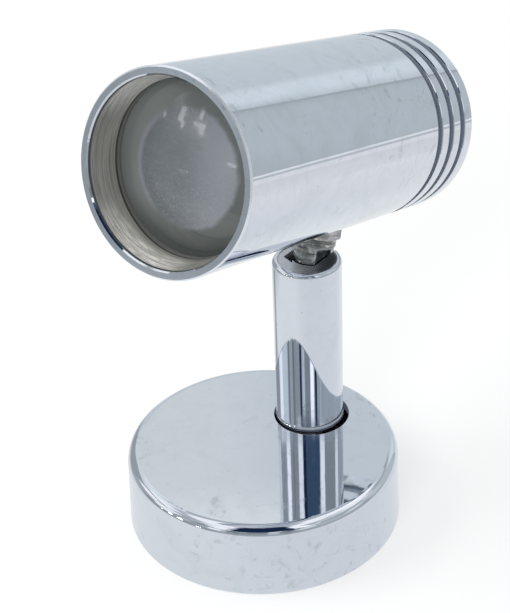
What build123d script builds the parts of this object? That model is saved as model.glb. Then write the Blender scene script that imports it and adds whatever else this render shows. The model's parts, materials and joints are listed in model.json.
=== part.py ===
from build123d import *
from math import sqrt
import os

# A small swivelling courtesy light. Millimetres, +Z up. The origin is the centre of the flat
# underside of the base. The stem stands off centre, towards +Y.

# Pose of the light as modelled
pan_at_rest = 8.07      # the stem turned about its own axis, from the head pointing along -Y
tilt_at_rest = 14.92    # the head's front end raised above level
tilt_stop = 1.0         # how far the head still drops from there, before the neck meets its slot

# Clearances
running = 0.05          # radial play of a shaft in its hole, and the gap between sliding faces
seated = 0.02           # play of a pressed or screwed part in its seat
through = 12.0          # how far a cut runs on, to pass right through a piece

# Base
base_radius = 30.2      # at the foot; the wall leans in a little towards the top
base_top_radius = 29.65
base_height = 17.0
canopy_inner_radius = 28.0
canopy_top_thickness = 2.0
canopy_round = 2.3
canopy_foot_chamfer = 0.3
stem_offset = 15.5
stem_hole_radius = 8.45
stem_hole_shift = (0.6, -0.1)   # the hole lies a little to +X of the stem
gasket_thickness = 1.0
plate_thickness = 2.5
plate_ring_radius = 27.5
plate_ring_wall = 1.5
plate_ring_top = 9.0
screw_spacing = 40.0
screw_hole_radius = 2.15
cable_hole_x = -9.5
cable_hole_y = -3.0
cable_hole_radius = 4.0
cable_radius = 2.75
grommet_lip = 1.4
grommet_lip_thickness = 0.8
grommet_taper = 0.5
grommet_room = 0.2      # between the grommet and the gasket round it
set_screw_radius = 1.5
set_screw_height = 6.2
set_screw_angles = (95.0, 175.0)
set_screw_grip = 0.8    # how far the canopy's screws reach into the plate's ring
set_screw_sunk = 0.5
key_across_flats = 1.5
key_depth = 1.3

# Pivot under the stem
boss_radius = 10.4
boss_top = 9.5
recess_radius = 8.4
recess_top = 6.0
spigot_radius = 4.95
spigot_bottom = 2.8
bush_wall = 1.1
bush_flange_radius = 7.6
bush_flange = 0.8
washer_radius = 7.3
washer_thickness = 0.8
spring_radius = 7.8
spring_height = 0.7
spring_thickness = 0.4
nut_across_flats = 13.0
nut_bottom = 3.0
stop_collar_thickness = 1.0
stop_tab_width = 3.0
stop_pin_radius = 1.1
stop_pin_distance = 8.9
stop_pin_bottom = 6.5
stop_pin_rise = 0.3     # its top, above the stem's lower end
stop_pin_chamfer = 0.25

# Stem
stem_radius = 7.5
stem_bore = 6.2
stem_top = 57.2
rim_round = 1.0
rim_inner_round = 0.25
foot_bead_radius = 7.7  # a rounded bead where the stem enters the base
foot_bead_middle = 17.1
foot_bead_half = 0.85   # half its height
foot_bead_root = 0.5    # how far its section reaches into the tube
foot_bore = 3.2
foot_length = 10.0

# Knuckle; heights are above the tilt pin, except for the pin's and the socket's own
pin_height = 47.8
pin_radius = 1.5
pin_length = 12.0
neck_radius = 4.5
neck_flat = 2.85
neck_flat_top = 12.0
slot_half = 3.08
slot_radius = 4.78
stem_slot_half = 3.2
stem_slot_bottom = -4.9
friction_disc_radius = 3.2
friction_disc_seat = 2.42       # the bottom of each disc's recess, from the neck's middle
collar_bottom = 14.3
collar_height = 4.0
collar_across_flats = 10.6
collar_chamfer = 0.5
collar_chamfer_height = 0.35
stud_radius = 3.95
stud_top = 22.4
saddle_radius = 6.5
saddle_thickness = 1.5
neck_nut_across_flats = 12.0
neck_nut_thickness = 2.5
neck_bore = 1.7
neck_bore_bottom = 7.0
neck_side_hole = 8.6
socket_bottom = 36.0
socket_top = 57.0
socket_screw_height = 39.5
socket_screw_start = 2.6
# the leads' way past the neck: a pocket in the socket's top, with its corners seen from above while the
# head points along -Y, and a groove below it that clears the pin
pocket_corners = ((-4.6, 1.6), (-4.7, -1.9), (-1.7, -3.05), (-2.7, -1.25), (-2.7, 1.6))
pocket_bottom = 50.0
groove_x = (-4.8, -2.9)
groove_y = (-6.3, -1.7)
groove_top = 53.6

# Head; depths are behind the front face
head_radius = 19.6
head_length = 82.0
head_height = 35.86     # head axis above the tilt pin
neck_depth = 55.9       # neck axis behind the front face
mouth_radius = 17.86
lip_radius = 16.8
lip_depth = 6.84
head_bore = 17.75
edge_break = 0.3
fin_first = 66.95
fin_pitch = 4.85
fin_width = 1.95
fin_floor = 18.7
fin_edge = 0.15
cap_plug_radius = 17.72
cap_plug_length = 7.0
cap_bore = 15.5
cap_face = 2.2
cap_chamfer = 0.4
cap_seal_floor = 16.9
cap_seal_width = 1.1
cap_seal_setback = 1.2

# Lens and lamp, by depth behind the head's front face
gasket_end = 8.65
lens_radius = 17.5
lens_edge = 2.2
lens_rise = 2.4
lens_seat = 16.7
snap_ring_outer = 18.05
snap_ring_inner = 15.8
snap_ring_width = 1.0
snap_ring_gap = 7.0
lamp_front = 12.6
lamp_radius = 17.4
lamp_rim = 1.4
lamp_rim_step = 0.6
lamp_edge = 1.0
lamp_outside = (14.2, 22.0)     # a point that the cup's outer curve passes, as radius and depth
lamp_inside = (12.9, 21.0)      # and one for its inner curve
lamp_throat = 27.4
lamp_shoulder = 8.4
lamp_shoulder_depth = 29.0
lamp_base_radius = 6.6
lamp_base_chamfer = 1.0
lamp_base_end = 36.0
lamp_glass_radius = 4.4
lamp_glass_front = 18.0
lamp_glass_round = 3.8
lamp_glass_end = 33.0
lamp_glass_room = 0.2
lamp_pin_spacing = 4.0
lamp_pin_radius = 0.5
lamp_pin_end = 42.0
contact_room = 0.1              # round the lamp's pins and the leads, in the holder
contact_wall = 0.5              # from the pins' ends to the end of their holes
contact_web = 1.0               # from there to the holes for the leads
holder_front = 36.6
holder_length = 9.0
holder_radius = 8.5
holder_plate_thickness = 1.0
holder_plate_radius = 17.6
holder_plate_bore = 4.0
holder_screw_spacing = 11.0
holder_screw_radius = 1.2
holder_screw_depth = 5.0
holder_screw_room = 0.3
holder_screw_head = 2.2

# Terminal block and leads
block_x = 5.0
block_y = -14.0
block_length = 15.0
block_width = 12.0
block_height = 9.0
block_corner = 1.0
pole_spacing = 7.0
clamp_radius = 2.1
clamp_bore = 1.3
clamp_length = 10.4
clamp_screw_spacing = 6.0
clamp_screw_radius = 1.2
clamp_screw_room = 0.4
clamp_screw_sunk = 0.6
block_screw_radius = 1.1
block_screw_head = 1.9
block_screw_seat = 2.0          # below the block's top
block_screw_room = 0.1
screw_head_height = 1.4
screw_slot_width = 0.5
screw_slot_depth = 0.7
lead_radius = 0.6
lead_pair = 0.7         # each lead's distance from the middle of the pair
lead_bend = 1.3
lead_hole_radius = 2.0
lead_hole_y = -5.0
trough_width = 4.0
trough_depth = 1.4
near_way = (-4.0, -2.4)         # where each lead of the stem passes the neck, beside the stem's axis
far_way = (-3.7, -3.75)

# Worked out from the sizes above
plate_bottom = gasket_thickness
plate_top = plate_bottom + plate_thickness
bush_radius = spigot_radius + running + bush_wall
bush_top = boss_top + bush_flange
washer_top = bush_top + washer_thickness
stop_collar_bottom = washer_top + running
stem_bottom = stop_collar_bottom + stop_collar_thickness
spring_top = recess_top - running
stud_hole = stud_radius + seated
shell_end = fin_first + 2 * fin_pitch
cap_front = shell_end + fin_width
lens_front = gasket_end + running
lens_back = lens_front + lens_edge
lens_ring = lens_back + seated
holder_back = holder_front + holder_length
holder_ring = holder_back + holder_plate_thickness + seated
neck_nut_bottom = head_height - head_bore + saddle_thickness
lamp_pin_hole_end = lamp_pin_end + contact_wall
clamp_height = plate_top + block_height / 2
block_top = plate_top + block_height
poles = (block_x - pole_spacing / 2, block_x + pole_spacing / 2)


# Shapes used throughout

def rod(radius, bottom, top):
    """A round bar along Z."""
    return Pos(0, 0, bottom) * Cylinder(radius, top - bottom, align=(Align.CENTER, Align.CENTER, Align.MIN))


def ring(outer, inner, bottom, top):
    """A round tube along Z."""
    return rod(outer, bottom, top) - rod(inner, bottom - 1, top + 1)


def cross_rod(radius, start, end):
    """A round bar along X through the origin."""
    return Rot(0, 90, 0) * rod(radius, start, end)


def block(x, y, z):
    """A box from its limits along X, Y and Z."""
    size = Box(x[1] - x[0], y[1] - y[0], z[1] - z[0], align=(Align.MIN, Align.MIN, Align.MIN))
    return Pos(x[0], y[0], z[0]) * size


def turned(*points):
    """A lathe part about Z, from the corners of its section as (radius, height)."""
    return revolve(Plane.XZ * make_face(Polyline(*points, close=True)), Axis.Z)


def hexagon(across_flats, bottom, top, turn=0.0):
    """A hexagonal bar along Z, with two corners along X when it isn't turned."""
    outline = Rot(0, 0, turn) * RegularPolygon(across_flats / 2, 6, major_radius=False)
    return Pos(0, 0, bottom) * extrude(outline, top - bottom)


def lead(*points):
    """An insulated lead along straight runs joined by arcs."""
    path = FilletPolyline(*points, radius=lead_bend)
    start = Plane(origin=path @ 0, z_dir=path % 0)
    return sweep(start * Circle(lead_radius), path=path)


def group(pieces):
    """Separate solids that share one node."""
    return Compound([solid for piece in pieces for solid in piece.solids()])


def at_stem(shape):
    """Carries a piece built about the stem's axis to its place."""
    return Pos(0, stem_offset, 0) * Rot(0, 0, pan_at_rest) * shape


def at_pin(shape):
    """Carries a piece built about the tilt pin, neck up and head towards -Y, to its place."""
    return at_stem(Pos(0, 0, pin_height) * Rot(-tilt_at_rest, 0, 0) * shape)


def along_head(shape):
    """Turns a piece built along Z, with Z the depth behind the front face, onto the head's axis."""
    return Pos(0, -neck_depth, head_height) * Rot(-90, 0, 0) * shape


def in_head(shape):
    return at_pin(along_head(shape))


# Base

def radial_bar(angle, radius, inner, outer):
    """A round bar pointing out from the middle of the base, at the height of the set screws."""
    return Rot(0, 0, angle) * Pos(0, 0, set_screw_height) * cross_rod(radius, inner, outer)


def fixing_holes(radius, top):
    """The two holes for the screws that hold the light down."""
    half = screw_spacing / 2
    return [Pos(x, 0) * rod(radius, -1, top) for x in (-half, half)]


def base_canopy():
    """Turned cup with a rounded upper edge."""
    under = base_height - canopy_top_thickness
    shell = turned(
        (0, base_height), (base_top_radius, base_height), (base_radius, canopy_foot_chamfer),
        (base_radius - canopy_foot_chamfer, 0), (canopy_inner_radius, 0), (canopy_inner_radius, under),
        (0, under))
    shell = fillet(shell.edges().group_by(Axis.Z)[-1], canopy_round)
    hole_x, hole_y = stem_hole_shift
    shell -= Pos(hole_x, stem_offset + hole_y) * rod(stem_hole_radius, under - 1, base_height + 1)
    for angle in set_screw_angles:
        shell -= radial_bar(angle, set_screw_radius + seated, plate_ring_radius, base_radius + 1)
    return shell


def canopy_set_screws():
    """Grub screws that pass through the canopy's wall into the plate's ring."""
    end = base_radius - set_screw_sunk
    screws = []
    for angle in set_screw_angles:
        screw = radial_bar(angle, set_screw_radius, plate_ring_radius - set_screw_grip, end)
        key = Rot(0, 90, 0) * hexagon(key_across_flats, end - key_depth, base_radius)
        screws.append(screw - Rot(0, 0, angle) * Pos(0, 0, set_screw_height) * key)
    return group(screws)


def base_gasket():
    sheet = rod(plate_ring_radius, 0, gasket_thickness)
    sheet -= Pos(0, stem_offset) * rod(recess_radius, -through, through)
    room = cable_hole_radius + grommet_lip + grommet_room
    sheet -= Pos(cable_hole_x, cable_hole_y) * rod(room, -through, through)
    for hole in fixing_holes(screw_hole_radius, through):
        sheet -= hole
    return sheet


def mounting_plate():
    """Cast plate with an upstanding ring for the canopy and a boss for the stem's pivot."""
    plate = rod(plate_ring_radius, plate_bottom, plate_top)
    plate += ring(plate_ring_radius, plate_ring_radius - plate_ring_wall, plate_bottom, plate_ring_top)
    plate += Pos(0, stem_offset) * rod(boss_radius, plate_bottom, boss_top)
    plate -= Pos(0, stem_offset) * rod(recess_radius, 0, recess_top)
    plate -= Pos(0, stem_offset) * rod(bush_radius, recess_top - 1, boss_top + 1)
    pin_hole = rod(stop_pin_radius + seated, stop_pin_bottom, boss_top + 1)
    plate -= Pos(0, stem_offset + stop_pin_distance) * pin_hole
    plate -= Pos(cable_hole_x, cable_hole_y) * rod(cable_hole_radius, 0, boss_top)
    plate -= Pos(block_x, block_y) * rod(block_screw_radius + seated, 0, boss_top)
    for hole in fixing_holes(screw_hole_radius, boss_top):
        plate -= hole
    for angle in set_screw_angles:
        plate -= radial_bar(angle, set_screw_radius + seated, plate_ring_radius - 1, base_radius)
    # trough under the plate and hole through it, for the leads between the stem and the terminals
    sides = (block_x - trough_width / 2, block_x + trough_width / 2)
    plate -= block(sides, (lead_hole_y, stem_offset), (0, plate_bottom + trough_depth))
    plate -= Pos(block_x, lead_hole_y) * rod(lead_hole_radius, 0, boss_top)
    return plate


def cable_grommet():
    lip = cable_hole_radius + grommet_lip
    waist = cable_hole_radius - seated
    return Pos(cable_hole_x, cable_hole_y) * turned(
        (cable_radius, plate_bottom - grommet_lip_thickness), (lip, plate_bottom - grommet_lip_thickness),
        (lip, plate_bottom), (waist, plate_bottom), (waist, plate_top), (lip, plate_top),
        (lip, plate_top + grommet_lip_thickness), (cable_radius + grommet_taper, plate_top + grommet_lip),
        (cable_radius, plate_top + grommet_lip))


# Pivot

def pivot_bush():
    bore = spigot_radius + running
    wall = bush_radius - seated
    return Pos(0, stem_offset) * turned(
        (bore, recess_top), (wall, recess_top), (wall, boss_top), (bush_flange_radius, boss_top),
        (bush_flange_radius, bush_top), (bore, bush_top))


def friction_washer():
    return Pos(0, stem_offset) * ring(washer_radius, spigot_radius + 2 * running, bush_top, washer_top)


def stop_pin():
    pin = rod(stop_pin_radius, stop_pin_bottom, stem_bottom + stop_pin_rise)
    pin = chamfer(pin.edges().group_by(Axis.Z)[-1], stop_pin_chamfer)
    return Pos(0, stem_offset + stop_pin_distance) * pin


def stem_foot():
    """Insert pressed into the tube, with the hollow spigot that turns in the bush."""
    return at_stem(turned(
        (foot_bore, spigot_bottom), (spigot_radius, spigot_bottom), (spigot_radius, stem_bottom),
        (stem_bore - seated, stem_bottom), (stem_bore - seated, stem_bottom + foot_length),
        (foot_bore, stem_bottom + foot_length)))


def stop_collar():
    """Washer under the stem, with the tab that meets the stop pin."""
    tab_end = stop_pin_distance + stop_pin_radius
    tab = block((-stop_tab_width / 2, stop_tab_width / 2), (-tab_end, -washer_radius + 1),
                (stop_collar_bottom, stem_bottom))
    collar = rod(washer_radius, stop_collar_bottom, stem_bottom) + tab
    return at_stem(collar - rod(spigot_radius + seated, 0, base_height))


def disc_spring():
    inner = spigot_radius + seated
    rise = spring_height - spring_thickness
    low = spring_top - spring_height
    return at_stem(turned(
        (inner, low), (spring_radius, low + rise), (spring_radius, spring_top),
        (inner, low + spring_thickness)))


def stem_nut():
    top = spring_top - spring_height - seated
    nut = hexagon(nut_across_flats, nut_bottom, top) - rod(spigot_radius + seated, 0, base_height)
    return at_stem(nut)


# Stem and knuckle

def swing_space(half_width, bottom):
    """The room behind the neck that it needs to lie back level, about the tilt pin."""
    sides = (-half_width, half_width)
    lean = tilt_at_rest - tilt_stop
    above = Rot(-lean, 0, 0) * block(sides, (0, through), (0, through))
    return above + block(sides, (0, through), (bottom, pin_radius))


def socket_screw_bar(radius, inner, outer):
    """A round bar towards +Y at the height of the socket's set screw."""
    return Pos(0, 0, socket_screw_height) * Rot(-90, 0, 0) * rod(radius, inner, outer)


def foot_bead():
    """A low rounded band round the stem."""
    low, high = foot_bead_middle - foot_bead_half, foot_bead_middle + foot_bead_half
    root = stem_radius - foot_bead_root
    back = Polyline((stem_radius, high), (root, high), (root, low), (stem_radius, low))
    front = ThreePointArc((stem_radius, low), (foot_bead_radius, foot_bead_middle), (stem_radius, high))
    return revolve(Plane.XZ * make_face(back + front), Axis.Z)


def stem_tube():
    tube = ring(stem_radius, stem_bore, stem_bottom, stem_top)
    for edge, radius in ((-1, rim_round), (0, rim_inner_round)):
        tube = fillet(tube.edges().group_by(Axis.Z)[-1].sort_by(SortBy.RADIUS)[edge], radius)
    tube += foot_bead()
    tube -= Pos(0, 0, pin_height) * swing_space(stem_slot_half, stem_slot_bottom)
    tube -= socket_screw_bar(set_screw_radius + seated, 0, stem_radius + 1)
    return at_stem(tube)


def knuckle_socket():
    """Plug in the stem's end, slotted for the neck, with a channel for the leads beside it."""
    plug = rod(stem_bore - seated, socket_bottom, socket_top)
    slab = block((-slot_half, slot_half), (-through, through), (-through, through))
    round_end = Rot(-(tilt_at_rest - tilt_stop), 0, 0) * rod(slot_radius, 0, through)
    slot = (round_end + cross_rod(slot_radius, -through, through)) & slab
    plug -= Pos(0, 0, pin_height) * (slot + swing_space(slot_half, -slot_radius))
    plug -= Pos(0, 0, pin_height) * cross_rod(pin_radius + seated, -pin_length, pin_length)
    pocket = make_face(Polyline(*pocket_corners, close=True))
    plug -= Pos(0, 0, pocket_bottom) * extrude(pocket, through)
    plug -= block(groove_x, groove_y, (socket_bottom - 1, groove_top))
    plug -= socket_screw_bar(set_screw_radius + seated, 0, stem_radius)
    return at_stem(plug)


def knuckle_pin():
    half = pin_length / 2
    return at_stem(Pos(0, 0, pin_height) * cross_rod(pin_radius, -half, half))


def socket_set_screw():
    end = stem_radius - set_screw_sunk
    screw = socket_screw_bar(set_screw_radius, socket_screw_start, end)
    key = hexagon(key_across_flats, end - key_depth, stem_radius)
    return at_stem(screw - Pos(0, 0, socket_screw_height) * Rot(-90, 0, 0) * key)


def neck():
    """Round neck, flattened where it lies in the slot, with an eye at the pin and a stud on top."""
    body = rod(neck_radius, 0, collar_bottom) + cross_rod(neck_radius, -neck_flat, neck_flat)
    for side in (-1, 1):
        flat = sorted((side * neck_flat, side * neck_radius * 2))
        body -= block(flat, (-through, through), (-through, neck_flat_top))
        recess = sorted((side * friction_disc_seat, side * neck_radius))
        body -= cross_rod(friction_disc_radius + seated, *recess)
    body += rod(stud_radius, collar_bottom - 1, stud_top)
    body -= cross_rod(pin_radius + running, -through, through)
    body -= rod(neck_bore, neck_bore_bottom, stud_top + 1)
    body -= Pos(0, 0, neck_side_hole) * cross_rod(neck_bore, -through, 0)
    return at_pin(body)


def tilt_friction_discs():
    """Thin discs about the pin, one in each flat of the neck."""
    disc = ring(friction_disc_radius, pin_radius + running, friction_disc_seat, slot_half - running)
    disc = Rot(0, 90, 0) * disc
    return at_pin(group([disc, Rot(0, 0, 180) * disc]))


def neck_collar():
    """Hexagonal collar, hollowed on top to seat on the head."""
    top = collar_bottom + collar_height
    corner = collar_across_flats / sqrt(3)
    collar = hexagon(collar_across_flats, collar_bottom, top)
    collar &= turned((0, collar_bottom), (corner - collar_chamfer, collar_bottom),
                     (corner, collar_bottom + collar_chamfer_height), (corner, top), (0, top))
    collar -= along_head(rod(head_radius + seated, 0, head_length))
    return at_pin(collar - rod(stud_hole, 0, stud_top))


def saddle_washer():
    """Washer inside the head, round underneath to fit the bore and flat on top for the nut."""
    washer = rod(saddle_radius, collar_bottom, neck_nut_bottom - seated)
    washer &= along_head(rod(head_bore - seated, 0, head_length))
    return at_pin(washer - rod(stud_hole, 0, stud_top))


def neck_nut():
    nut = hexagon(neck_nut_across_flats, neck_nut_bottom, neck_nut_bottom + neck_nut_thickness, 30)
    return at_pin(nut - rod(stud_hole, 0, stud_top))


# Head

def head_shell():
    outline = [(mouth_radius, edge_break), (mouth_radius + edge_break, 0), (head_radius - edge_break, 0),
               (head_radius, edge_break)]
    for start in (fin_first, fin_first + fin_pitch):
        outline += [(head_radius, start - fin_edge), (head_radius - fin_edge, start), (fin_floor, start),
                    (fin_floor, start + fin_width), (head_radius - fin_edge, start + fin_width),
                    (head_radius, start + fin_width + fin_edge)]
    outline += [(head_radius, shell_end - fin_edge), (head_radius - fin_edge, shell_end), (head_bore, shell_end), (head_bore, lip_depth),
                (lip_radius, lip_depth)]
    shell = turned(*outline)
    for start in (lens_ring, holder_ring):
        shell -= rod(snap_ring_outer + seated, start - seated, start + snap_ring_width + seated)
    return at_pin(along_head(shell) - rod(stud_hole, 0, stud_top))


def rear_cap():
    """Screwed cap: its flange closes the last of the three grooves round the head."""
    seal_end = shell_end - cap_seal_setback
    cap = turned(
        (0, head_length), (head_radius - cap_chamfer, head_length),
        (head_radius, head_length - cap_chamfer), (head_radius, cap_front + fin_edge),
        (head_radius - fin_edge, cap_front), (fin_floor, cap_front),
        (fin_floor, shell_end + seated), (cap_plug_radius, shell_end + seated),
        (cap_plug_radius, seal_end), (cap_seal_floor, seal_end),
        (cap_seal_floor, seal_end - cap_seal_width), (cap_plug_radius, seal_end - cap_seal_width),
        (cap_plug_radius, shell_end - cap_plug_length), (cap_bore, shell_end - cap_plug_length),
        (cap_bore, head_length - cap_face), (0, head_length - cap_face))
    return in_head(cap)


def cap_o_ring():
    section = (head_bore - cap_seal_floor) / 2 - seated
    centre = shell_end - cap_seal_setback - cap_seal_width / 2
    return in_head(Pos(0, 0, centre) * Torus(cap_seal_floor + seated + section, section))


def lens_gasket():
    return in_head(ring(head_bore - seated, lip_radius, lip_depth + seated, gasket_end))


def lens_glass():
    """Glass lens, domed in front and flat behind."""
    crown = lens_front - lens_rise
    dome = (lens_seat ** 2 + lens_rise ** 2) / (2 * lens_rise)
    half = lens_seat / 2
    middle = (half, crown + dome - sqrt(dome ** 2 - half ** 2))
    edge = Polyline((lens_seat, lens_front), (lens_radius, lens_front), (lens_radius, lens_back),
                    (0, lens_back), (0, crown))
    section = make_face(edge + ThreePointArc((0, crown), middle, (lens_seat, lens_front)))
    return in_head(revolve(Plane.XZ * section, Axis.Z))


def snap_ring(start):
    """Open spring ring that sits in a groove in the bore."""
    clip = ring(snap_ring_outer, snap_ring_inner, start, start + snap_ring_width)
    half = snap_ring_gap / 2
    clip -= block((-half, half), (-head_radius, 0), (start - 1, start + snap_ring_width + 1))
    return in_head(clip)


def lamp_reflector():
    """Cup of a 35 mm reflector lamp, with its base."""
    edge = (lamp_radius - lamp_edge, lamp_front)
    step = (lamp_radius - lamp_rim_step, lamp_front + lamp_rim)
    shoulder = (lamp_shoulder, lamp_shoulder_depth)
    bore = lamp_glass_radius + lamp_glass_room
    bore_end = lamp_glass_end + lamp_glass_room
    throat = (bore, lamp_throat)
    outer = Polyline(edge, (lamp_radius, lamp_front), (lamp_radius, lamp_front + lamp_rim), step)
    back = ThreePointArc(step, lamp_outside, shoulder)
    base = Polyline(
        shoulder, (lamp_base_radius, lamp_shoulder_depth + lamp_base_chamfer),
        (lamp_base_radius, lamp_base_end), (0, lamp_base_end), (0, bore_end), (bore, bore_end), throat)
    front = ThreePointArc(throat, lamp_inside, edge)
    cup = revolve(Plane.XZ * make_face(outer + back + base + front), Axis.Z)
    for x in lamp_pin_places():
        cup -= Pos(x, 0) * rod(lamp_pin_radius + seated, lamp_glass_end - 1, lamp_base_end + 1)
    return in_head(cup)


def lamp_pin_places():
    return (-lamp_pin_spacing / 2, lamp_pin_spacing / 2)


def lamp_capsule():
    capsule = rod(lamp_glass_radius, lamp_glass_front, lamp_glass_end)
    capsule = fillet(capsule.edges().group_by(Axis.Z)[0], lamp_glass_round)
    return in_head(capsule)


def lamp_pins():
    pin = rod(lamp_pin_radius, lamp_glass_end + seated, lamp_pin_end)
    return in_head(group([Pos(x, 0) * pin for x in lamp_pin_places()]))


def holder_screw_places():
    return (-holder_screw_spacing / 2, holder_screw_spacing / 2)


def lamp_holder():
    """Ceramic two-pin lamp holder."""
    holder = rod(holder_radius, holder_front, holder_back)
    pin_hole = rod(lamp_pin_radius + contact_room, holder_front - 1, lamp_pin_hole_end)
    lead_hole = rod(lead_radius + contact_room, lamp_pin_hole_end + contact_web, holder_back + 1)
    for x in lamp_pin_places():
        holder -= Pos(x, 0) * (pin_hole + lead_hole)
    screw_hole = rod(holder_screw_radius + seated, holder_back - holder_screw_depth, holder_back + 1)
    for y in holder_screw_places():
        holder -= Pos(0, y) * screw_hole
    return in_head(holder)


def holder_plate():
    plate = ring(holder_plate_radius, holder_plate_bore, holder_back, holder_back + holder_plate_thickness)
    for y in holder_screw_places():
        plate -= Pos(0, y) * rod(holder_screw_radius + seated, holder_back - through, holder_back + through)
    return in_head(plate)


def screw_slot(top):
    """The slot for a screwdriver in a head that ends at this height."""
    half = screw_slot_width / 2
    return block((-half, half), (-through, through), (top - screw_slot_depth, top + 1))


def holder_screws():
    seat = holder_back + holder_plate_thickness
    end = seat + screw_head_height
    screw = rod(holder_screw_radius, holder_back - holder_screw_depth + holder_screw_room, seat)
    head = rod(holder_screw_head, seat, end) - screw_slot(end)
    return in_head(group([Pos(0, y) * (screw + head) for y in holder_screw_places()]))


# Terminals and leads

def terminal_block():
    """Two-pole block; its clamps lie along Y with two screws each."""
    middle = Pos(block_x, block_y)
    body = Pos(block_x, block_y, plate_top) * Box(
        block_length, block_width, block_height, align=(Align.CENTER, Align.CENTER, Align.MIN))
    body = fillet(body.edges().filter_by(Axis.Z), block_corner)
    bore = Rot(90, 0, 0) * rod(clamp_radius + seated, -block_width, block_width)
    for x in poles:
        body -= Pos(x, block_y, clamp_height) * bore
        for y in clamp_screw_places():
            body -= Pos(x, y) * rod(clamp_screw_radius + clamp_screw_room, clamp_height, base_height)
    body -= middle * rod(block_screw_radius + seated, 0, base_height)
    body -= middle * rod(block_screw_head + block_screw_room, block_top - block_screw_seat, base_height)
    return body


def clamp_screw_places():
    return (block_y - clamp_screw_spacing / 2, block_y + clamp_screw_spacing / 2)


def terminal_clamps():
    clamps = []
    half = clamp_length / 2
    for x in poles:
        clamp = Pos(x, block_y, clamp_height) * Rot(90, 0, 0) * ring(clamp_radius, clamp_bore, -half, half)
        for y in clamp_screw_places():
            clamp -= Pos(x, y) * rod(clamp_screw_radius + seated, clamp_height, base_height)
        clamps.append(clamp)
    return group(clamps)


def terminal_screws():
    top = block_top - clamp_screw_sunk
    screw = rod(clamp_screw_radius, clamp_height + lead_radius + running, top) - screw_slot(top)
    return group([Pos(x, y) * screw for x in poles for y in clamp_screw_places()])


def terminal_block_screw():
    seat = block_top - block_screw_seat
    head = rod(block_screw_head, seat, seat + screw_head_height) - screw_slot(seat + screw_head_height)
    return Pos(block_x, block_y) * (rod(block_screw_radius, plate_bottom + seated, seat) + head)


def base_leads():
    """The pair from the stem's lower end, through the trough, to the terminals."""
    level = plate_bottom + running + lead_radius
    end = block_y + clamp_screw_spacing / 4
    pair = []
    for side, pole in zip((-lead_pair, lead_pair), poles):
        pair.append(lead(
            (side, stem_offset - 1, level), (block_x + side, stem_offset - 8, level),
            (block_x + side, lead_hole_y, level), (block_x + side, lead_hole_y, clamp_height - 1.6),
            (pole, lead_hole_y - 2.2, clamp_height), (pole, end, clamp_height)))
    return group(pair)


def stem_leads():
    """The pair up the stem to the pocket beside the neck."""
    foot = spigot_bottom + lead_radius
    low, high, end = 25.0, 33.0, 53.0
    pair = []
    for start, way in (((-lead_pair, 0.3), near_way), ((lead_pair, -0.3), far_way)):
        pair.append(lead((*start, foot), (*start, low), (*way, high), (*way, end)))
    return at_stem(group(pair))


def head_leads():
    """The pair from the neck's bore to the back of the lamp holder."""
    back = holder_back - neck_depth
    pair = []
    for side, pole in zip((-lead_pair, lead_pair), lamp_pin_places()):
        pair.append(lead(
            (side, 0, neck_bore_bottom + 2), (side, 0, head_height - 6), (pole, -6.5, head_height),
            (pole, back - 1.5, head_height)))
    return at_pin(group(pair))


nodes = {
    "base_canopy": base_canopy(),
    "canopy_set_screws": canopy_set_screws(),
    "base_gasket": base_gasket(),
    "mounting_plate": mounting_plate(),
    "cable_grommet": cable_grommet(),
    "pivot_bush": pivot_bush(),
    "friction_washer": friction_washer(),
    "stop_pin": stop_pin(),
    "terminal_block": terminal_block(),
    "terminal_clamps": terminal_clamps(),
    "terminal_screws": terminal_screws(),
    "terminal_block_screw": terminal_block_screw(),
    "base_leads": base_leads(),
    "stem_tube": stem_tube(),
    "stem_foot": stem_foot(),
    "stop_collar": stop_collar(),
    "disc_spring": disc_spring(),
    "stem_nut": stem_nut(),
    "knuckle_socket": knuckle_socket(),
    "knuckle_pin": knuckle_pin(),
    "socket_set_screw": socket_set_screw(),
    "stem_leads": stem_leads(),
    "neck": neck(),
    "tilt_friction_discs": tilt_friction_discs(),
    "neck_collar": neck_collar(),
    "saddle_washer": saddle_washer(),
    "neck_nut": neck_nut(),
    "head_shell": head_shell(),
    "rear_cap": rear_cap(),
    "cap_o_ring": cap_o_ring(),
    "lens_gasket": lens_gasket(),
    "lens_glass": lens_glass(),
    "lens_snap_ring": snap_ring(lens_ring),
    "lamp_reflector": lamp_reflector(),
    "lamp_capsule": lamp_capsule(),
    "lamp_pins": lamp_pins(),
    "lamp_holder": lamp_holder(),
    "holder_plate": holder_plate(),
    "holder_screws": holder_screws(),
    "holder_snap_ring": snap_ring(holder_ring),
    "head_leads": head_leads(),
}

os.makedirs("parts", exist_ok=True)
for name, shape in nodes.items():
    export_step(shape, os.path.join("parts", name + ".step"))
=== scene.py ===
import json
from math import cos, pi, radians, sin

import bpy
from mathutils import Matrix, Vector

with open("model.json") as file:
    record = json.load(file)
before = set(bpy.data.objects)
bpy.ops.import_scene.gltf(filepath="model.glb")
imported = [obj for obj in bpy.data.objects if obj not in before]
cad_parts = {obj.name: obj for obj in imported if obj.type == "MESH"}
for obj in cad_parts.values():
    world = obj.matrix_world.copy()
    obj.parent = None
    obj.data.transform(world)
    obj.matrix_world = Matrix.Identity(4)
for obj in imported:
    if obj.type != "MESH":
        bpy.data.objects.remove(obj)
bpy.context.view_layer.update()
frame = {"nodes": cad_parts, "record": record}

# Places on the light, in metres, as it stands at rest
MM = 0.001
pan, tilt = radians(8.07), radians(14.92)
stem_axis = Vector((0, 0.0155, 0))
pin_height = 0.0478
tilt_pin = stem_axis + Vector((0, 0, pin_height))
forward = Vector((cos(tilt) * sin(pan), -cos(tilt) * cos(pan), sin(tilt)))
neck_up = Vector((-sin(tilt) * sin(pan), sin(tilt) * cos(pan), cos(tilt)))
sideways = neck_up.cross(forward) * -1
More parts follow.
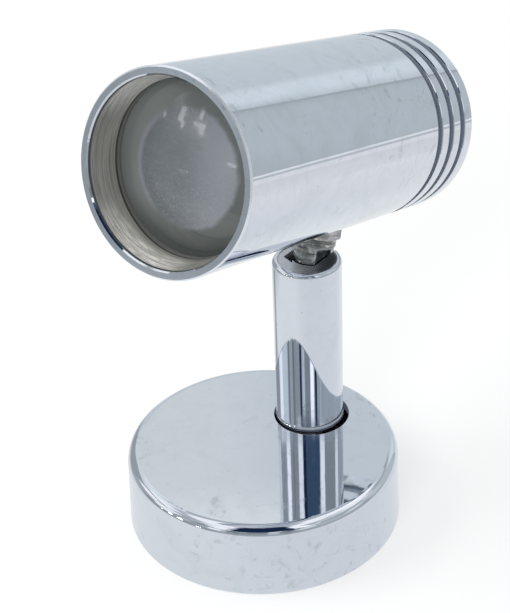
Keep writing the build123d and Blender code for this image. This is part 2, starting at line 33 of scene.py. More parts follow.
axis_over_pin, front_before_pin = 35.86 * MM, 55.9 * MM
head_front = tilt_pin + axis_over_pin * neck_up + front_before_pin * forward
stem_hole = (0.0006, 0.0154, 0)

# Where a finish changes, in millimetres: distances from the head's axis, depths behind its front face,
# and the distance from the middle of the stem's hole
outer_corner, corner_depth = (19.2, 19.35), (0.35, 0.50)
lip_edge, lip_depths = (18.75, 18.90), (0.28, 0.95)
bore_wall, bore_depths = (17.80, 17.92), (0.9, 30)
groove_floor, groove_depths = (19.25, 19.45), (66.5, 80.9)
first_groove, groove_pitch = 66.95, 4.85
seal_shade_depths, seal_edge = (7.25, 7.60), (8.2, 8.4)
lens_middle, lens_crescent = (10.8, 12.0), (10.7, 11.7)
stem_hole_wall = (8.46, 8.52)


# Camera

camera_place = Vector((0.19499, -0.19466, 0.22632))
camera_heading, camera_dip, camera_roll = radians(135.133), radians(32.252), radians(2.369)
camera_lens = 92.0
camera_reach = (0.01, 20)


def set_camera():
    """The camera that the photograph was taken with, as its circles and straight edges show it."""
    look = Vector((cos(camera_dip) * cos(camera_heading), cos(camera_dip) * sin(camera_heading),
                   -sin(camera_dip)))
    level = look.cross(Vector((0, 0, 1))).normalized()
    upright = level.cross(look)
    right = cos(camera_roll) * level - sin(camera_roll) * upright
    up = right.cross(look)
    data = bpy.data.cameras.new("camera")
    data.lens = camera_lens
    data.clip_start, data.clip_end = camera_reach
    camera = bpy.data.objects.new("camera", data)
    turn = Matrix((right, up, -look)).transposed().to_4x4()
    camera.matrix_world = Matrix.Translation(camera_place) @ turn
    bpy.context.collection.objects.link(camera)
    bpy.context.scene.camera = camera


# Shader arithmetic

class Socket:
    """An output of a node, which can be used in sums."""

    def __init__(self, shade, output):
        self.shade, self.output = shade, output

    def __add__(self, other):
        return self.shade.maths("ADD", self, other)

    def __sub__(self, other):
        return self.shade.maths("SUBTRACT", self, other)

    def __rsub__(self, other):
        return self.shade.maths("SUBTRACT", other, self)

    def __mul__(self, other):
        return self.shade.maths("MULTIPLY", self, other)

    def __truediv__(self, other):
        return self.shade.maths("DIVIDE", self, other)

    __radd__, __rmul__ = __add__, __mul__


class Shade:
    """The nodes of one material, or of the world."""

    def __init__(self, owner):
        owner.use_nodes = True
        self.tree = owner.node_tree
        self.tree.nodes.clear()

    def node(self, kind, inputs=(), out=0, stops=(), **settings):
        """Any node: its settings are set first, then its inputs, by name or number, as values or links."""
        made = self.tree.nodes.new("ShaderNode" + kind)
        for name, value in settings.items():
            setattr(made, name, value)
        if stops:
            ramp = made.color_ramp.elements
            while len(ramp) < len(stops):
                ramp.new(1.0)
            for element, (place, level) in zip(ramp, stops):
                element.position, element.color = place, (level, level, level, 1)
        for name, value in dict(inputs).items():
            if isinstance(value, Socket):
                self.tree.links.new(value.output, made.inputs[name])
            elif isinstance(value, tuple) and len(value) == 3 and made.inputs[name].type == "RGBA":
                made.inputs[name].default_value = (*value, 1)
            else:
                made.inputs[name].default_value = value
        return Socket(self, made.outputs[out]) if made.outputs else made

    def maths(self, operation, first, second=0.0):
        return self.node("Math", {0: first, 1: second}, operation=operation)

    def vector(self, operation, first, second=(0, 0, 0), out=0):
        return self.node("VectorMath", {0: first, 1: second}, out=out, operation=operation)

    def dot(self, first, second):
        return self.vector("DOT_PRODUCT", first, tuple(second), out=1)

    def mix(self, factor, first, second):
        return self.node("Mix", {0: factor, 6: first, 7: second}, out=2, data_type="RGBA")

    def step(self, value, start, end):
        """Rises smoothly from 0 to 1 while the value goes from start to end."""
        return self.node("MapRange", {"Value": value, "From Min": start, "From Max": end},
                         interpolation_type="SMOOTHSTEP")

    def between(self, value, low, high, soft):
        """1 where the value is between low and high, with soft ends."""
        return self.step(value, low - soft, low + soft) * (1 - self.step(value, high - soft, high + soft))

    def noise(self, place, scale, detail=2.0, roughness=0.5, distortion=0.0):
        return self.node("TexNoise", {"Vector": place, "Scale": scale, "Detail": detail,
                                      "Roughness": roughness, "Distortion": distortion})

    def join(self, x, y, z):
        return self.node("CombineXYZ", {0: x, 1: y, 2: z})

    def split(self, vector):
        """The x, y and z of a vector."""
        parts = self.node("SeparateXYZ", {0: vector}).output.node.outputs
        return [Socket(self, part) for part in parts]

    def rays(self):
        """Camera ray and glossy ray, each 1 or 0."""
        path = self.node("LightPath").output.node.outputs
        return Socket(self, path["Is Camera Ray"]), Socket(self, path["Is Glossy Ray"])

    def here(self):
        """The place on the object, in metres, in the pose at rest."""
        return self.node("TexCoord", out="Object")

    def surface(self, **finish):
        """Ends the nodes in one Principled shader; names are its sockets with _ for a space."""
        inputs = {name.replace("_", " "): value for name, value in finish.items()}
        self.finish_with(self.node("BsdfPrincipled", inputs))

    def finish_with(self, shader, kind="OutputMaterial"):
        self.node(kind, {"Surface": shader})

    def bump(self, height, depth):
        """The normal of a surface whose height, from 0 to 1, is worth this depth in metres."""
        return self.node("Bump", {"Height": height, "Distance": depth, "Strength": 1.0})


def material(name):
    made = bpy.data.materials.new(name)
    return made, Shade(made)


# The room round the light, as the metal mirrors it. Headings are degrees anticlockwise from +X, heights
# are degrees above level.

def cool(level):
    """The colour of a wall of this brightness in daylight."""
    return (0.92 * level, level, 1.05 * level)


def white(level):
    """The colour of a window or a lit white surface of this brightness."""
    return (level, level, 1.02 * level)


navy = (0.010, 0.022, 0.060)
all_round = (-180, 180)

room_patches = (
    # colour, headings, heights, softness of the sides, softness of the top and bottom
    # behind the light: a pale wall, its corner, and the bright ceiling over it
    (cool(0.705), (87.6, 190), (-30, 47), 0.5, 3),
    (cool(0.84), (91, 103), (12, 34), 3.5, 5),
    (cool(0.41), (86.5, 87.9), (-13, 33), 0.3, 0.5),
    (white(1.15), (62, 107), (47, 66), 5, 3),
    (cool(0.45), (117, 138), (46, 78), 7, 4),
    ((0.75, 0.785, 0.795), (135, 160), (28, 47), 3, 3),
    ((0.87, 0.91, 0.91), (133, 160), (39.4, 47), 3, 1.2),
    (cool(0.95), (160, 190), (42, 57), 5, 4),
    # to the right
    (cool(0.60), (62, 86), (-13, 34), 5, 3),
    (cool(0.68), (44, 62), (12, 34), 4, 3),
    (white(1.02), (41, 64), (43, 60), 4, 3),
    # the front, low down
    (cool(0.46), (-165, 45), (-16, 21), 5, 3),
    (cool(0.38), (-150, -86), (-16, 19), 5, 7),
    (cool(0.47), (-119, -115), (-2.5, 4), 1.5, 2),
    (cool(0.46), (-118.4, -114.8), (-12, -6.4), 0.9, 1.2),
    # a window to the left of the camera, and the frames and shelves beside it
    (white(1.04), (-190, -140), (22, 55), 3, 4),
    (white(1.04), (-141, -124), (15, 34), 2, 2),
    (cool(0.58), (-141, -131), (43, 58), 1.5, 2),
    (cool(0.52), (-131, -117), (43, 50), 2, 3),
    (cool(0.42), (-124, -117), (10, 33), 2, 1.5),
    (cool(0.62), (-117, -108), (22, 46), 1.5, 2),
    (cool(0.42), (-108, -100), (12, 48), 1.5, 3),
    (white(0.98), (-114, -98), (51, 68), 3, 3),
    (white(1.08), (-99, -90), (40, 64), 1.5, 3),
    (white(1.08), (-92, -81), (20, 58), 1.5, 3),
    (cool(0.64), (-81, -76), (18, 34), 1, 3),
    # the dark shape behind the camera, and what is below it
    (cool(0.38), (-76, -22), (8, 23), 2, 4),
    (cool(0.25), (-76, -22), (23, 34), 2, 3),
    (cool(0.68), (-44, -35), (13, 28), 1.5, 3),
    (navy, (-77, -17), (41, 63), 1.5, 0.8),
    (navy, (-84, -13), (61, 71), 2, 1.5),
    (navy, (-93, -6), (69, 79), 3, 1.5),
    (navy, (-112, 2), (78, 85), 6, 1.5),
    # a door frame and shelves to the right of the camera
    (white(1.12), (-19, -5), (40, 66), 1.2, 1),
    (cool(0.85), (-19, -5), (20, 33), 1.5, 2),
    (cool(0.56), (-4, 10), (42, 58), 2, 1),
    (cool(0.66), (10, 27), (42, 60), 3, 1),
    (cool(0.68), (6, 13), (43, 53), 1.5, 2),
    (cool(0.55), (-4, 20), (12, 33), 3, 3),
    (cool(0.78), (21, 36), (18, 29), 3, 3),
    (cool(0.88), (27.5, 45), (28.5, 33), 1.8, 1),
    (cool(0.80), (29, 43), (43, 60), 3, 2),
    # what the stem mirrors low down, over the base: seen a little further down ...
    (cool(0.41), (159, 190), (-16, 37), 3, 1),
    (cool(0.41), (-190, -168), (-16, 37), 2.5, 1),
    (white(1.28), (-163, -149), (33, 36.8), 2, 0.5),
    (cool(0.85), (-148.5, -125.5), (33, 36.8), 1.5, 0.5),
    (cool(0.25), (-121.5, -116), (33, 36.8), 1.2, 0.5),
    (cool(0.51), (-116, -104), (33, 36.8), 1, 0.5),
    (cool(0.26), (-104, -97), (33, 36.8), 1, 0.5),
    (cool(0.42), (-97, -79.5), (33, 36.8), 1, 0.5),
    (navy, (-79, -72.5), (33, 36.8), 0.8, 0.5),
    (cool(0.75), (-70, -61.5), (33, 36.8), 1.4, 0.5),
    (cool(0.34), (-61.5, -44.5), (33, 36.8), 1, 0.5),
    (white(1.5), (-43, -31.5), (33, 36.8), 1.5, 0.5),
    (navy, (-28, -21), (33, 36.8), 1, 0.5),
    (cool(0.48), (-21, 5), (33, 36.8), 1, 0.5),
    (cool(0.62), (-11, -7), (33, 36.8), 1, 0.5),
    # ... and further up
    (cool(0.80), (150, 190), (37, 41), 2, 0.6),
    (cool(0.39), (-176, -141), (37, 41), 3, 0.6),
    (white(1.27), (-138, -122.5), (37, 41), 1.5, 0.6),
    (cool(0.36), (-119.5, -90), (37, 41), 1.2, 0.6),
    (cool(0.26), (-110.5, -106), (37, 41), 1, 0.6),
    (white(1.10), (-89.5, -74.5), (37, 41), 1.2, 0.6),
    ((0.055, 0.095, 0.16), (-72.5, -15), (36.6, 42), 1.2, 0.6),
    (navy, (-72.5, -63), (36.6, 42), 1.2, 0.6),
    (white(1.15), (-12.5, 3.5), (37, 41), 1.2, 0.6),
    (cool(0.34), (3.5, 48), (37, 41), 1.2, 0.6),
    (white(0.98), (50, 64), (37, 41), 2.5, 0.6),
    (cool(0.46), (68, 118), (37, 41), 3, 0.6),
)


lamp_spark = (9.0, 9.2, 9.4)
spark_places = (
    # headings and heights of the lamps, which show as small sparks in the lens
    ((-124.0, -121.6), (10.4, 15.6)),
    ((-122.0, -120.6), (9.0, 11.6)),
    ((-115.0, -113.4), (15.0, 18.2)),
    ((-116.4, -111.4), (11.6, 13.6)),
    ((-113.4, -111.0), (10.4, 14.4)),
    ((-131.4, -130.2), (8.2, 9.8)),
    ((-98.6, -94.6), (4.4, 5.6)),
)
room_fill = (0.76, 0.77, 0.78)      # what lights the object from all round


def set_room():
    """The world: the room for what the metal mirrors, a plain pale light otherwise, and white behind."""
    world = bpy.data.worlds.new("room")
    bpy.context.scene.world = world
    shade = Shade(world)
    x, y, z = shade.split(shade.node("TexCoord", out="Generated"))
    heading = shade.maths("ARCTAN2", y, x) * (180 / pi)
    height = shade.maths("ARCSINE", z) * (180 / pi)

    def patch(under, colour, headings, heights, soft, soft_height):
        cover = shade.between(heading, *headings, soft) * shade.between(height, *heights, soft_height)
        return shade.mix(cover, under, colour)

    # grey all round, with a bright band of ceiling
    room = shade.mix(shade.between(height, 61, 77, 2.5), cool(0.52), white(1.08))
    for each in room_patches:
        room = patch(room, *each)
    # the white sheet that the light stands on, past the part of it that is modelled, with its hem
    room = shade.mix(shade.step(height, -14.7, -15.2), room, white(0.86))
    room = patch(room, cool(0.60), all_round, (-14.9, -13.8), 1, 0.3)
    room = patch(room, white(0.93), all_round, (-13.7, -12.5), 1, 0.25)
    for headings, heights in spark_places:
        room = patch(room, lamp_spark, headings, heights, 0.4, 0.4)
    # a paler gleam under them
    room = patch(room, white(1.5), (-116.5, -113.2), (11.0, 12.2), 0.8, 0.5)

    camera_ray, glossy_ray = shade.rays()
    seen = shade.mix(glossy_ray, room_fill, room)
    seen = shade.mix(camera_ray, seen, (1, 1, 1))
    shade.finish_with(shade.node("Background", {"Color": seen}), "OutputWorld")


lamp_target = Vector((0, 0, 0.08))


def set_lamp(name, place, size, power):
    """A round lamp aimed at the light's middle, which the metal doesn't mirror."""
    data = bpy.data.lights.new(name, "AREA")
    data.shape, data.size, data.energy = "DISK", size, power
    lamp = bpy.data.objects.new(name, data)
    lamp.location = place
    lamp.rotation_euler = (lamp_target - Vector(place)).to_track_quat("-Z", "Y").to_euler()
    lamp.visible_glossy = False
    bpy.context.collection.objects.link(lamp)


# The sheet that the light stands on

sheet_radius, sheet_sides, sheet_drop = 0.30, 64, 0.00005
sheet_shadow = 0.42         # how much of the light's shadow the camera sees on it
# brightness by the distance from the middle, as a share of the radius
sheet_glow = (
    (0.08, 0.87), (0.16, 0.89), (0.33, 0.90), (0.47, 0.93), (0.60, 0.96), (0.75, 0.89), (1.0, 0.86))


def lay_sheet():
    """White with a faint shadow to the camera, glowing in the metal, and plain paper to other light."""
    turns = [2 * pi * k / sheet_sides for k in range(sheet_sides)]
    circle = [(sheet_radius * cos(turn), sheet_radius * sin(turn), 0) for turn in turns]
    mesh = bpy.data.meshes.new("sheet")
    mesh.from_pydata(circle, [], [list(range(sheet_sides))])
    sheet = bpy.data.objects.new("sheet", mesh)
    sheet.location.z = -sheet_drop
    bpy.context.collection.objects.link(sheet)
    paper, shade = material("paper")
    out = shade.vector("LENGTH", shade.here(), out=1)
    camera_ray, glossy_ray = shade.rays()
    shown = camera_ray * (1 - shade.step(out, 0.12, 0.27)) * sheet_shadow
    level = shade.node("ValToRGB", {0: out / sheet_radius}, stops=sheet_glow)
    # bluer close by, a little darker in front, shaded and streaked to the left, and bluer to the right
    x, y, _ = shade.split(shade.here())
    streak = shade.between(x, -0.13, -0.045, 0.01) * shade.between(y, 0.005, 0.022, 0.003)
    shaded = (1 - shade.step(x, -0.10, -0.07)) * (1 - shade.step(y, 0.02, 0.06))
    for cover, tint in ((shade.step(out, 0.15, 0.04), (0.965, 1.0, 1.01)),
                        (1 - shade.step(y, 0.0, 0.08), (0.97, 0.97, 0.97)),
                        (shaded, (0.72, 0.74, 0.77)),
                        (streak, (0.48, 0.50, 0.52)),
                        (shade.step(x, 0.0, 0.05), (0.91, 0.915, 0.94))):
        level = shade.mix(cover, level, shade.vector("MULTIPLY", level, tint))
    glow = shade.node("Emission", {"Color": shade.mix(camera_ray, level, (1, 1, 1)), "Strength": 1.0})
    bounce = shade.node("BsdfDiffuse", {"Color": (0.86, 0.86, 0.87)})
    lit = shade.node("BsdfDiffuse", {"Color": (0.93, 0.93, 0.93)})
    mirrored = shade.maths("MAXIMUM", glossy_ray, camera_ray)
    plain = shade.node("MixShader", {0: mirrored, 1: bounce, 2: glow})
    shade.finish_with(shade.node("MixShader", {0: shown, 1: plain, 2: lit}))
    mesh.materials.append(paper)


# Finishes

def along_head(shade, here):
    """Distance from the head's axis and depth behind its front face, in millimetres."""
    offset = shade.vector("SUBTRACT", here, tuple(head_front))
    depth = shade.dot(offset, -forward / MM)
    across = shade.vector("SUBTRACT", offset, shade.node(
        "VectorMath", {0: tuple(forward), 3: shade.dot(offset, forward)}, operation="SCALE"))
    return shade.vector("LENGTH", across, out=1) / MM, depth


def across_head(shade, here):
    """Distance to the head's own right of its axis and above it, in millimetres."""
    offset = shade.vector("SUBTRACT", here, tuple(head_front))
    return shade.dot(offset, sideways / MM), shade.dot(offset, neck_up / MM)


class Finish:
    """A metal's colour, roughness, waves and share of metal, as marks of use and painted light and shade
    are laid over them.
    """

    def __init__(self, shade, colour, roughness, waves):
        self.shade, self.colour, self.roughness, self.waves = shade, colour, roughness, waves
        self.metal = 1.0

    def wear_and_painted_light(self, cover, colour, rougher, duller):
        """Lays this mark over the metal where cover is 1: a mark of use on some pieces, painted light or
        painted shade on others.
        """
        self.colour = self.shade.mix(cover, self.colour, colour)
        self.roughness = self.roughness + cover * rougher
        self.metal = self.metal - cover * duller


def groove_floors(finish, here):
    """The grooves' floors are dull, with painted shade along the front side of each."""
    shade = finish.shade
    radius, depth = along_head(shade, here)
    groove_floor_mask = (1 - shade.step(radius, *groove_floor)) * shade.between(depth, *groove_depths, 0.1)
    within = shade.maths("MODULO", depth - first_groove, groove_pitch)
    floor = shade.mix(shade.noise(here, 900, 3, 0.6), (0.28, 0.32, 0.38), (0.40, 0.45, 0.52))
    # painted shade: a darker strip along the front side of each groove's floor
    floor = shade.mix(shade.step(within, 0.15, 0.60), (0.17, 0.19, 0.23), floor)
    finish.wear_and_painted_light(groove_floor_mask, floor, 0.30, 0.45)


def painted_mouth_edges(finish, here):
    """The mouth's outer corner is rougher and duller, with a painted highlight that makes it paler, and
    just inside the lip's bright edge the corner is rougher and darkened with painted shade.
    """
    shade = finish.shade
    radius, depth = along_head(shade, here)
    # painted highlight: the outer corner is made paler so that it shows a bright edge
    corner = shade.step(radius, *outer_corner) * (1 - shade.step(depth, *corner_depth))
    finish.wear_and_painted_light(corner, (0.80, 0.83, 0.88), 0.25, 0.30)
    # painted shade just inside the lip's bright edge
    lip = (1 - shade.step(radius, *lip_edge)) * shade.between(depth, *lip_depths, 0.08)
    finish.wear_and_painted_light(lip, (0.26, 0.27, 0.29), 0.25, 0.0)


def nickel_bore(finish, here):
    """The bore is bare nickel with turning marks and scratches, in painted light at its top and along its
    bottom, and in painted shade low down deep inside; the scratches show pale only where that light falls.
    """
    shade = finish.shade
    radius, depth = along_head(shade, here)
    side, high = across_head(shade, here)
    inside = (1 - shade.step(radius, *bore_wall)) * shade.between(depth, *bore_depths, 0.25)
    lower = 1 - shade.step(high, -16, -8)
    turning = shade.noise(shade.join(depth * 1.5, side * 0.05, high * 0.05), 1.4, 4, 0.7)
    turning = shade.step(turning, 0.30, 0.70)
    patches = shade.noise(shade.join(depth * 0.25, side * 0.12, high * 0.12), 1.6, 3, 0.6)
    scratches = shade.noise(shade.join(depth * 2.6, side * 0.16, high * 0.16), 1.6, 4, 0.75)
    scratches = shade.step(scratches, 0.44, 0.60)
    # the scratches show pale only low down near the mouth and at the top, where light falls: painted
    # highlights on real scratches
    lit_scratches = lower * shade.step(side, -7, 2) * (1 - shade.step(depth, 4.0, 6.5))
    lit_scratches = lit_scratches + shade.step(high, 5, 13) * 0.6
    nickel = shade.mix(turning * 0.6 + patches * 0.4, (0.17, 0.167, 0.155), (0.47, 0.46, 0.43))
    # painted light: paler at the top of the bore
    nickel = shade.mix(shade.step(high, 6, 14) * 0.6, nickel, (0.74, 0.74, 0.72))
    # painted light: paler along the bottom of the bore
    nickel = shade.mix(lower * shade.step(side, -7, 0) * 0.5, nickel, (0.70, 0.69, 0.64))
    # painted shade: darker low down, deep inside towards the lens
    nickel = shade.mix(shade.step(depth, 4.2, 7.2) * lower * 0.6, nickel, (0.13, 0.125, 0.11))
    nickel = shade.mix(scratches * lit_scratches, nickel, (1.0, 0.97, 0.91))
    finish.wear_and_painted_light(inside, nickel, 0.30 + 0.12 * turning, 0.72)
    finish.waves = finish.waves + inside * (turning + scratches * 0.5) * 1.4


def bare_hole_painted_light(finish, here):
    """The wall of the hole for the stem is unplated, duller and rougher, and painted pale so that it shows
    lit in the narrow gap.
    """
    shade = finish.shade
    offset = shade.vector("MULTIPLY", shade.vector("SUBTRACT", here, stem_hole), (1, 1, 0))
    reach = shade.vector("LENGTH", offset, out=1) / MM
    # painted light: the pale blue-grey is lighter than bare metal, making up for the little light in the
    # gap
    finish.wear_and_painted_light(1 - shade.step(reach, *stem_hole_wall), (0.66, 0.72, 0.82), 0.45, 0.7)


chrome_tint = (0.745, 0.775, 0.835)


def polished_chrome(name, *wear_and_painted_light, smears=0.4, clouds=0.08):
    """Chrome plate with faint smears, clouds, stains and pits, and the slight waves of its polishing.

    The functions given after the name add what is particular to one piece: what use has done to it, and
    the light and shade painted on it.
    """
    made, shade = material(name)
    here = shade.here()
    smear = shade.step(shade.noise(here, 95, 4, 0.6, 1.5), 0.46, 0.70)
    cloud = shade.step(shade.noise(here, 150, 4, 0.65, 2.0), 0.42, 0.66)
    stain = shade.step(shade.noise(here, 300, 5, 0.65, 0.8), 0.54, 0.70)
    stain = stain * shade.step(shade.noise(here, 48, 1), 0.47, 0.58)
    pits = shade.step(shade.noise(here, 620, 2, 0.5), 0.70, 0.78)
    colour = shade.mix(smear * smears, chrome_tint, (0.67, 0.71, 0.755))
    colour = shade.mix(cloud * clouds, colour, (0.60, 0.655, 0.67))
    colour = shade.mix(stain * 0.65, colour, (0.50, 0.53, 0.57))
    colour = shade.mix(pits * 0.35, colour, (0.42, 0.44, 0.48))
    roughness = 0.028 + smear * 0.05 + pits * 0.12 + stain * 0.08
    waves = shade.noise(here, 130, 1, 0.4) + 0.25 * shade.noise(here, 420, 1, 0.4)
    finish = Finish(shade, colour, roughness, waves)
    for add in wear_and_painted_light:
        add(finish, here)
    shade.surface(Base_Color=finish.colour, Metallic=finish.metal, Roughness=finish.roughness,
                  Normal=shade.bump(finish.waves, 9e-6))
    return made


def turned_metal(name, dark, light, roughness, rings_per_metre=1500.0, depth=3e-6):
    """Lathe-turned metal: fine lines round the neck's axis, under a faint cloud."""
    made, shade = material(name)
    here = shade.here()
    along = shade.dot(here, neck_up)
    lines = shade.noise(shade.join(0.0, 0.0, along * rings_per_metre), 2.2, 3, 0.65)
    cloud = shade.noise(here, 330, 3, 0.6)
    shade.surface(Base_Color=shade.mix(lines * 0.35 + cloud * 0.65, dark, light), Metallic=1.0,
                  Roughness=roughness + lines * 0.06 + cloud * 0.06,
                  Normal=shade.bump(lines + cloud, depth))
    return made


def stained_steel(name, dark, light, roughness):
    """Turned steel with brown streaks along the neck and blotches of old polish."""
    made, shade = material(name)
    here = shade.here()
    along = shade.dot(here, neck_up)
    across = shade.vector("MULTIPLY", here, (160, 160, 0))
    lines = shade.noise(shade.vector("ADD", across, shade.join(0.0, 0.0, along * 1300.0)), 1.0, 4, 0.7)
    blotches = shade.noise(here, 300, 4, 0.65, 1.2)
    colour = shade.mix(shade.step(lines, 0.32, 0.68), dark, light)
    colour = shade.mix(shade.step(blotches, 0.44, 0.60) * 0.55, colour, (0.13, 0.115, 0.10))
    colour = shade.mix(shade.step(blotches, 0.44, 0.34) * 0.70, colour, (0.80, 0.80, 0.78))
    shade.surface(Base_Color=colour, Metallic=1.0, Roughness=roughness + blotches * 0.12,
                  Normal=shade.bump(lines + blotches, 3e-6))
    return made


shaded_side = Vector((0.7055, 0.7087, 0))       # the direction towards the side of the socket that is painted in shade


def shaded_socket(name):
    """The knuckle's socket: satin steel, paler on one side and darkened with painted shade on the other.
    """
    made, shade = material(name)
    here = shade.here()
    across = shade.dot(shade.vector("SUBTRACT", here, tuple(stem_axis)), shaded_side / MM)
    clouds = shade.noise(here, 420, 4, 0.65)
    # painted light and shade: pale on one side of the socket and dark on the other, broken up by clouds
    side_shade = shade.step(across + clouds * 5, -2.0, 6.0)
    shade.surface(Base_Color=shade.mix(side_shade, (0.62, 0.64, 0.67), (0.125, 0.135, 0.15)), Metallic=0.55,
                  Roughness=0.20 + clouds * 0.10, Normal=shade.bump(clouds, 4e-6))
    return made


def plated(name, dark, light, roughness, grain=900.0, depth=4e-6):
    """Small metal fittings with a fine grain."""
    made, shade = material(name)
    here = shade.here()
    grains = shade.noise(here, grain, 3, 0.6)
    patches = shade.noise(here, grain / 6, 2, 0.5)
    shade.surface(Base_Color=shade.mix(patches, dark, light), Metallic=1.0,
                  Roughness=roughness + grains * 0.14, Normal=shade.bump(grains, depth))
    return made


def cast_metal(name, dark, light):
    """Sand-cast aluminium: coarse skin and darker hollows."""
    made, shade = material(name)
    here = shade.here()
    skin = shade.noise(here, 1500, 4, 0.7)
    clouds = shade.noise(here, 160, 3, 0.6)
    shade.surface(Base_Color=shade.mix(skin * 0.5 + clouds * 0.5, dark, light), Metallic=1.0,
                  Roughness=0.42 + skin * 0.2, Normal=shade.bump(skin, 2.5e-5))
    return made


def moulded(name, dark, light, roughness, grain=1100.0, depth=8e-6):
    """Rubber, plastic and ceramic: a dull skin with a fine grain."""
    made, shade = material(name)
    here = shade.here()
    grains = shade.noise(here, grain, 3, 0.6)
    clouds = shade.noise(here, 180, 2, 0.5)
    shade.surface(Base_Color=shade.mix(clouds * 0.7 + grains * 0.3, dark, light),
                  Roughness=roughness + grains * 0.12, Normal=shade.bump(grains, depth))
    return made


def shaded_seal(name):
    """The lens's seal: painted shade in front, where it meets the lip, paler further in towards the glass,
    with a darker line near its back.
    """
    made, shade = material(name)
    here = shade.here()
    _, depth = along_head(shade, here)
    grains = shade.noise(here, 1100, 3, 0.6)
    # painted shade on the front of the seal, in the recess behind the lip
    out_of_shade = shade.step(depth, *seal_shade_depths)
    pale = shade.mix(grains, (0.14, 0.14, 0.13), (0.23, 0.23, 0.22))
    colour = shade.mix(out_of_shade, (0.055, 0.056, 0.050), pale)
    colour = shade.mix(shade.between(depth, *seal_edge, 0.1) * 0.6, colour, (0.06, 0.06, 0.055))
    shade.surface(Base_Color=colour, Roughness=0.45 + grains * 0.15, Normal=shade.bump(grains, 6e-6))
    return made


def pressed_glass(name):
    """The lens: a greenish rim and a hazy, stippled middle, both with painted light and shade from side to
    side, and glints painted into the lower half of the middle.
    """
    made, shade = material(name)
    here = shade.here()
    radius, _ = along_head(shade, here)
    side, high = across_head(shade, here)
    wobble = shade.noise(here, 260, 3, 0.6) - 0.5
    middle = 1 - shade.step(radius + wobble * 1.6, *lens_middle)
    mottle = shade.noise(here, 900, 4, 0.7)
    broad = shade.noise(here, 130, 3, 0.5, 0.6)
    lower = 1 - shade.step(high, -8, 4)
    brushed = shade.noise(shade.join(side * 0.10, high * 1.1, 0.0), 1.6, 4, 0.7)
    # painted light and shade: the rim darker towards the head's own left and paler towards its right
    rim = shade.mix(shade.step(side, -4, 13), (0.100, 0.112, 0.108), (0.175, 0.190, 0.186))
    rim = shade.mix((1 - shade.step(high, -15, -6)) * 0.6, rim, (0.040, 0.046, 0.043))
    haze = mottle * 0.3 + broad * 0.4 + brushed * 0.3
    grey = shade.mix(haze, (0.060, 0.068, 0.074), (0.175, 0.192, 0.202))
    # painted light: the middle paler towards the head's own left
    grey = shade.mix(shade.step(side, 2, -10) * 0.62, grey, (0.270, 0.292, 0.325))
    colour = shade.mix(middle, rim, grey)
    crescent = shade.between(radius, *lens_crescent, 0.5) * shade.step(side, 5, 9.5)
    colour = shade.mix(crescent * 0.5, colour, (0.27, 0.28, 0.32))
    # painted glints: pale specks in the colour, most of them in the lower half
    glints = shade.step(shade.noise(here, 3400, 2, 0.5), 0.56, 0.70) * (0.10 + lower * 0.90) * middle
    colour = shade.mix(glints * 0.35, colour, (0.34, 0.38, 0.39))
    cells = shade.node("TexVoronoi", {"Vector": here, "Scale": 1150.0, "Randomness": 0.9}, out="Distance")
    shade.surface(Base_Color=colour, Roughness=0.09 + middle * (0.08 + mottle * 0.12), IOR=1.52,
                  Coat_Weight=0.4, Coat_Roughness=0.04,
                  Normal=shade.bump(middle * cells * (0.5 + lower), 3.0e-5))
    return made


def clear_glass(name):
    """The lamp's own glass, faintly hazy."""
    made, shade = material(name)
    haze = shade.noise(shade.here(), 500, 3, 0.6)
    shade.surface(Base_Color=shade.mix(haze, (0.90, 0.92, 0.92), (0.97, 0.98, 0.98)),
                  Roughness=0.02 + haze * 0.05, IOR=1.46, Transmission_Weight=0.9)
    return made


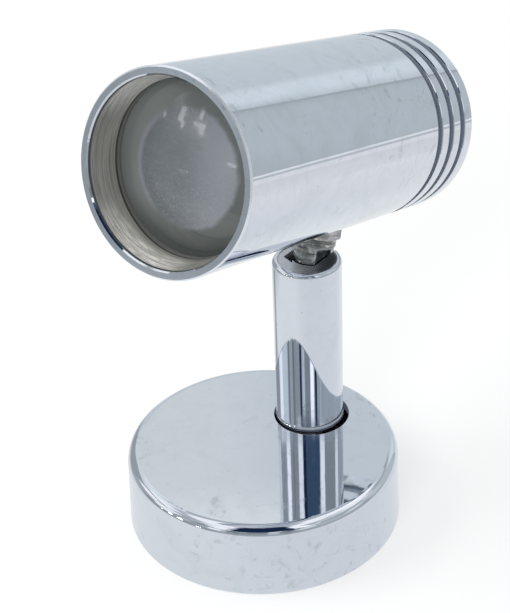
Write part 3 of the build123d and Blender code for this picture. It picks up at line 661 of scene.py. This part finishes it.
def dress():
    """Gives each piece its own finish where it has one, or else that of its material in the record."""
    finishes = {
        "polished_chrome": polished_chrome("polished_chrome"),
        "turned_nickel": turned_metal("turned_nickel", (0.46, 0.45, 0.42), (0.72, 0.70, 0.66), 0.14),
        "cast_aluminium": cast_metal("cast_aluminium", (0.40, 0.41, 0.42), (0.66, 0.67, 0.68)),
        "brass": plated("brass", (0.58, 0.42, 0.18), (0.78, 0.62, 0.32), 0.16),
        "steel": plated("steel", (0.44, 0.45, 0.46), (0.66, 0.67, 0.68), 0.18),
        "spring_steel": plated("spring_steel", (0.16, 0.17, 0.20), (0.30, 0.32, 0.36), 0.22),
        "black_rubber": moulded("black_rubber", (0.018, 0.018, 0.019), (0.045, 0.045, 0.046), 0.62),
        "nylon": moulded("nylon", (0.74, 0.72, 0.64), (0.84, 0.82, 0.75), 0.40),
        "terminal_plastic": moulded("terminal_plastic", (0.72, 0.72, 0.70), (0.82, 0.82, 0.80), 0.38),
        "ceramic": moulded("ceramic", (0.78, 0.76, 0.70), (0.88, 0.86, 0.81), 0.50, 1600.0, 1.2e-5),
        "reflector": plated("reflector", (0.72, 0.74, 0.75), (0.84, 0.86, 0.87), 0.06, 1800.0, 6e-6),
        "lens_glass": pressed_glass("lens_glass"),
        "lamp_glass": clear_glass("lamp_glass"),
        "lead_insulation": moulded("lead_insulation", (0.025, 0.025, 0.027), (0.06, 0.06, 0.062), 0.45),
    }
    own = {
        "head_shell": polished_chrome("head_chrome", groove_floors, painted_mouth_edges, nickel_bore,
                                      smears=0.7, clouds=0.22),
        "rear_cap": polished_chrome("cap_chrome", groove_floors, clouds=0.22),
        "base_canopy": polished_chrome("canopy_chrome", bare_hole_painted_light),
        "lens_gasket": shaded_seal("shaded_seal"),
        "neck": stained_steel("neck_steel", (0.13, 0.13, 0.13), (0.60, 0.60, 0.59), 0.10),
        "neck_collar": stained_steel("collar_steel", (0.24, 0.25, 0.26), (0.66, 0.67, 0.68), 0.08),
        "knuckle_socket": shaded_socket("socket_steel"),
    }
    for part in frame["record"]["subparts"]:
        piece = frame["nodes"][part["node"]]
        finish = own.get(part["node"], finishes[part["material_slot"]])
        if not piece.material_slots:
            piece.data.materials.append(finish)
        for place in piece.material_slots:
            place.link = "OBJECT"
            place.material = finish


bpy.context.scene.view_settings.view_transform = "Standard"
set_camera()
set_room()
set_lamp("key", (-0.5, -0.5, 0.9), size=0.7, power=5.0)
set_lamp("fill", (0.35, -0.80, 0.62), size=0.4, power=3.0)
lay_sheet()
dress()
